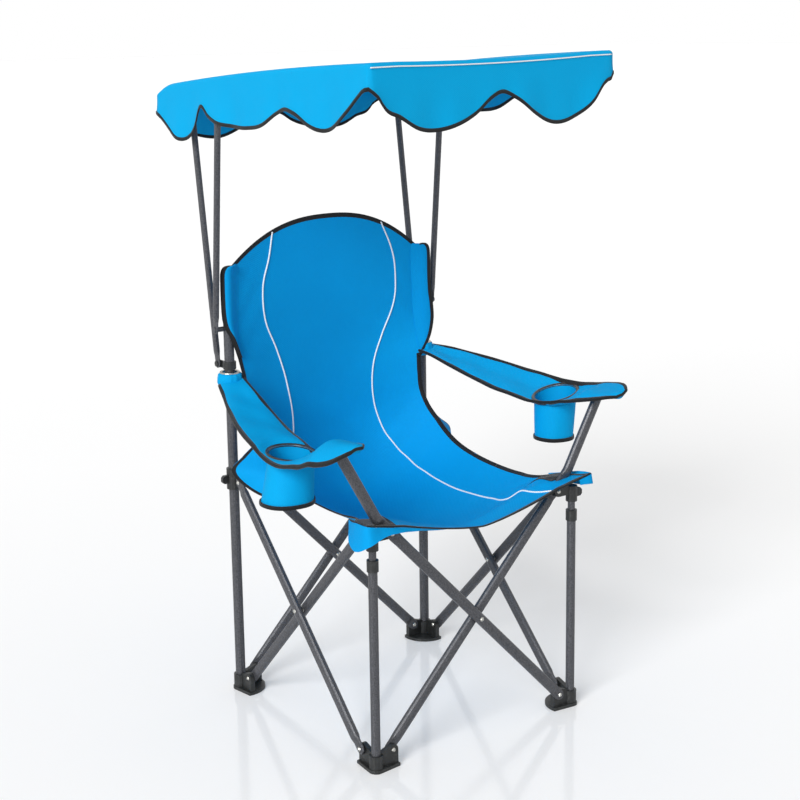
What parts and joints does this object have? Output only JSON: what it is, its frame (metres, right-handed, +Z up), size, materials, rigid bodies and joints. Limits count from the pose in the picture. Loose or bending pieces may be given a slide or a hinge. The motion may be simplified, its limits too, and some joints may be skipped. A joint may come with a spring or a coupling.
{
  "type": "quad-fold camping chair with canopy",
  "caption": "Folding camping chair with a hanging cloth seat and back, padded arms with cup holders, and a scalloped sun canopy on tilting struts.",
  "frame": {"origin": "on the floor, under the middle of the bounding box", "axes": "+Z up, the sitter faces -Y, +X to the right seen from the front"},
  "size_m": [0.7743, 0.806, 1.395],
  "materials": {
    "steel": "grey hammered powder coat",
    "plastic": "satin black nylon",
    "rivet": "zinc plated",
    "sling_cloth": "blue woven polyester",
    "arm_cloth": "blue padded polyester",
    "canopy_cloth": "light blue coated polyester",
    "ring": "black"
  },
  "bodies": {
    "rear_left": {"foot_rear_left": "plastic", "upright_left": "steel", "strut_bracket_left": "plastic", "rivet_foot_rear_left_1": "rivet", "rivet_foot_rear_left_2": "rivet", "sling": "sling_cloth", "armrest_left": "arm_cloth", "cup_pocket_left": "arm_cloth", "cup_ring_left": "ring"},
    "left_inner": {"cross_left_inner": "steel", "rivet_middle_left": "rivet"},
    "left_outer": {"cross_left_outer": "steel"},
    "front_left_leg": {"foot_front_left": "plastic", "leg_outer_left": "steel", "leg_collar_left": "plastic", "rivet_foot_front_left_1": "rivet", "rivet_foot_front_left_2": "rivet"},
    "rear_left_slider": {"slider_left": "plastic", "rivet_hub_rear_left_1": "rivet", "rivet_hub_rear_left_2": "rivet"},
    "front_left_hub": {"hub_left": "plastic", "leg_inner_left": "steel", "rivet_hub_front_left_1": "rivet", "rivet_hub_front_left_2": "rivet"},
    "rear_outer": {"cross_rear_outer": "steel", "rivet_middle_rear": "rivet"},
    "rear_inner": {"cross_rear_inner": "steel"},
    "rear_right": {"foot_rear_right": "plastic", "upright_right": "steel", "strut_bracket_right": "plastic", "rivet_foot_rear_right_1": "rivet", "rivet_foot_rear_right_2": "rivet", "armrest_right": "arm_cloth", "cup_pocket_right": "arm_cloth", "cup_ring_right": "ring"},
    "rear_right_slider": {"slider_right": "plastic", "rivet_hub_rear_right_1": "rivet", "rivet_hub_rear_right_2": "rivet"},
    "right_outer": {"cross_right_outer": "steel", "rivet_middle_right": "rivet"},
    "right_inner": {"cross_right_inner": "steel"},
    "front_right_leg": {"foot_front_right": "plastic", "leg_outer_right": "steel", "leg_collar_right": "plastic", "rivet_foot_front_right_1": "rivet", "rivet_foot_front_right_2": "rivet"},
    "front_right_hub": {"hub_right": "plastic", "leg_inner_right": "steel", "rivet_hub_front_right_1": "rivet", "rivet_hub_front_right_2": "rivet"},
    "front_inner": {"cross_front_inner": "steel", "rivet_middle_front": "rivet"},
    "front_outer": {"cross_front_outer": "steel"},
    "front_strut_left": {"strut_front_left": "steel"},
    "rear_strut_left": {"strut_rear_left": "steel"},
    "rail_left": {"rail_left": "steel", "canopy_cover": "canopy_cloth"},
    "front_strut_right": {"strut_front_right": "steel"},
    "rear_strut_right": {"strut_rear_right": "steel"},
    "rail_right": {"rail_right": "steel"}
  },
  "joints": [
    {"name": "frame_fold", "type": "hinge", "parent": "rear_left", "child": "left_inner", "pos_m": [-0.2508, 0.151, 0.036], "axis": [-1, 0, 0], "range_deg": [0, 34], "deforming": ["sling", "armrest_left", "armrest_right", "cup_pocket_left", "cup_pocket_right", "cup_ring_left", "cup_ring_right", "canopy_cover"]},
    {"name": "left_cross_pin", "type": "hinge", "parent": "left_inner", "child": "left_outer", "pos_m": [-0.26, -0.069, 0.263], "axis": [-1, 0, 0], "range_deg": [-68, 0]},
    {"name": "front_left_foot_pin", "type": "hinge", "parent": "left_outer", "child": "front_left_leg", "pos_m": [-0.2692, -0.289, 0.036], "axis": [-1, 0, 0], "range_deg": [0, 34]},
    {"name": "rear_left_slider_pin", "type": "hinge", "parent": "left_outer", "child": "rear_left_slider", "pos_m": [-0.2692, 0.151, 0.49], "axis": [-1, 0, 0], "range_deg": [0, 34]},
    {"name": "front_left_hub_pin", "type": "hinge", "parent": "left_inner", "child": "front_left_hub", "pos_m": [-0.2508, -0.289, 0.49], "axis": [-1, 0, 0], "range_deg": [-34, 0]},
    {"name": "rear_left_foot_pin", "type": "hinge", "parent": "rear_left", "child": "rear_outer", "pos_m": [-0.22, 0.2002, 0.036], "axis": [0, -1, 0], "range_deg": [0, 34]},
    {"name": "rear_cross_pin", "type": "hinge", "parent": "rear_outer", "child": "rear_inner", "pos_m": [0, 0.191, 0.263], "axis": [0, -1, 0], "range_deg": [-68, 0]},
    {"name": "rear_right_foot_pin", "type": "hinge", "parent": "rear_inner", "child": "rear_right", "pos_m": [0.22, 0.1818, 0.036], "axis": [0, -1, 0], "range_deg": [0, 34]},
    {"name": "rear_right_slider_pin", "type": "hinge", "parent": "rear_outer", "child": "rear_right_slider", "pos_m": [0.22, 0.2002, 0.49], "axis": [0, -1, 0], "range_deg": [-34, 0]},
    {"name": "right_foot_pin", "type": "hinge", "parent": "rear_right", "child": "right_outer", "pos_m": [0.2692, 0.151, 0.036], "axis": [-1, 0, 0], "range_deg": [0, 34]},
    {"name": "right_cross_pin", "type": "hinge", "parent": "right_outer", "child": "right_inner", "pos_m": [0.26, -0.069, 0.263], "axis": [-1, 0, 0], "range_deg": [-68, 0]},
    {"name": "front_right_foot_pin", "type": "hinge", "parent": "right_inner", "child": "front_right_leg", "pos_m": [0.2508, -0.289, 0.036], "axis": [-1, 0, 0], "range_deg": [0, 34]},
    {"name": "front_right_hub_pin", "type": "hinge", "parent": "right_outer", "child": "front_right_hub", "pos_m": [0.2692, -0.289, 0.49], "axis": [-1, 0, 0], "range_deg": [-34, 0]},
    {"name": "front_foot_pin", "type": "hinge", "parent": "front_left_leg", "child": "front_inner", "pos_m": [-0.22, -0.3198, 0.036], "axis": [0, -1, 0], "range_deg": [0, 34]},
    {"name": "front_cross_pin", "type": "hinge", "parent": "front_inner", "child": "front_outer", "pos_m": [0, -0.329, 0.263], "axis": [0, -1, 0], "range_deg": [-68, 0]},
    {"name": "canopy_tilt", "type": "hinge", "parent": "rear_left", "child": "front_strut_left", "pos_m": [-0.291, 0.191, 0.824], "axis": [-1, 0, 0], "range_deg": [-8, 25]},
    {"name": "left_rear_strut_pin", "type": "hinge", "parent": "rear_left", "child": "rear_strut_left", "pos_m": [-0.2718, 0.22, 0.743], "axis": [-1, 0, 0], "range_deg": [-7.02, 21.93]},
    {"name": "left_rail_pin", "type": "hinge", "parent": "front_strut_left", "child": "rail_left", "pos_m": [-0.291, 0.144, 1.349], "axis": [-1, 0, 0], "range_deg": [-7.85, 2.51]},
    {"name": "right_front_strut_pin", "type": "hinge", "parent": "rear_right", "child": "front_strut_right", "pos_m": [0.291, 0.191, 0.824], "axis": [-1, 0, 0], "range_deg": [-8, 25]},
    {"name": "right_rear_strut_pin", "type": "hinge", "parent": "rear_right", "child": "rear_strut_right", "pos_m": [0.2718, 0.22, 0.743], "axis": [-1, 0, 0], "range_deg": [-7.02, 21.93]},
    {"name": "right_rail_pin", "type": "hinge", "parent": "front_strut_right", "child": "rail_right", "pos_m": [0.291, 0.144, 1.349], "axis": [-1, 0, 0], "range_deg": [-7.85, 2.51]}
  ],
  "couplings": [
    {"joint": "left_cross_pin", "follows": "frame_fold", "ratio": -2},
    {"joint": "front_left_foot_pin", "follows": "frame_fold", "ratio": 1},
    {"joint": "rear_left_slider_pin", "follows": "frame_fold", "ratio": 1},
    {"joint": "front_left_hub_pin", "follows": "frame_fold", "ratio": -1},
    {"joint": "rear_left_foot_pin", "follows": "frame_fold", "ratio": 1},
    {"joint": "rear_cross_pin", "follows": "frame_fold", "ratio": -2},
    {"joint": "rear_right_foot_pin", "follows": "frame_fold", "ratio": 1},
    {"joint": "rear_right_slider_pin", "follows": "frame_fold", "ratio": -1},
    {"joint": "right_foot_pin", "follows": "frame_fold", "ratio": 1},
    {"joint": "right_cross_pin", "follows": "frame_fold", "ratio": -2},
    {"joint": "front_right_foot_pin", "follows": "frame_fold", "ratio": 1},
    {"joint": "front_right_hub_pin", "follows": "frame_fold", "ratio": -1},
    {"joint": "front_foot_pin", "follows": "frame_fold", "ratio": 1},
    {"joint": "front_cross_pin", "follows": "frame_fold", "ratio": -2},
    {"joint": "left_rear_strut_pin", "follows": "canopy_tilt", "ratio": 0.8773},
    {"joint": "left_rail_pin", "follows": "canopy_tilt", "ratio": -0.314},
    {"joint": "right_front_strut_pin", "follows": "canopy_tilt", "ratio": 1},
    {"joint": "right_rear_strut_pin", "follows": "canopy_tilt", "ratio": 0.8773},
    {"joint": "right_rail_pin", "follows": "canopy_tilt", "ratio": -0.314}
  ]
}
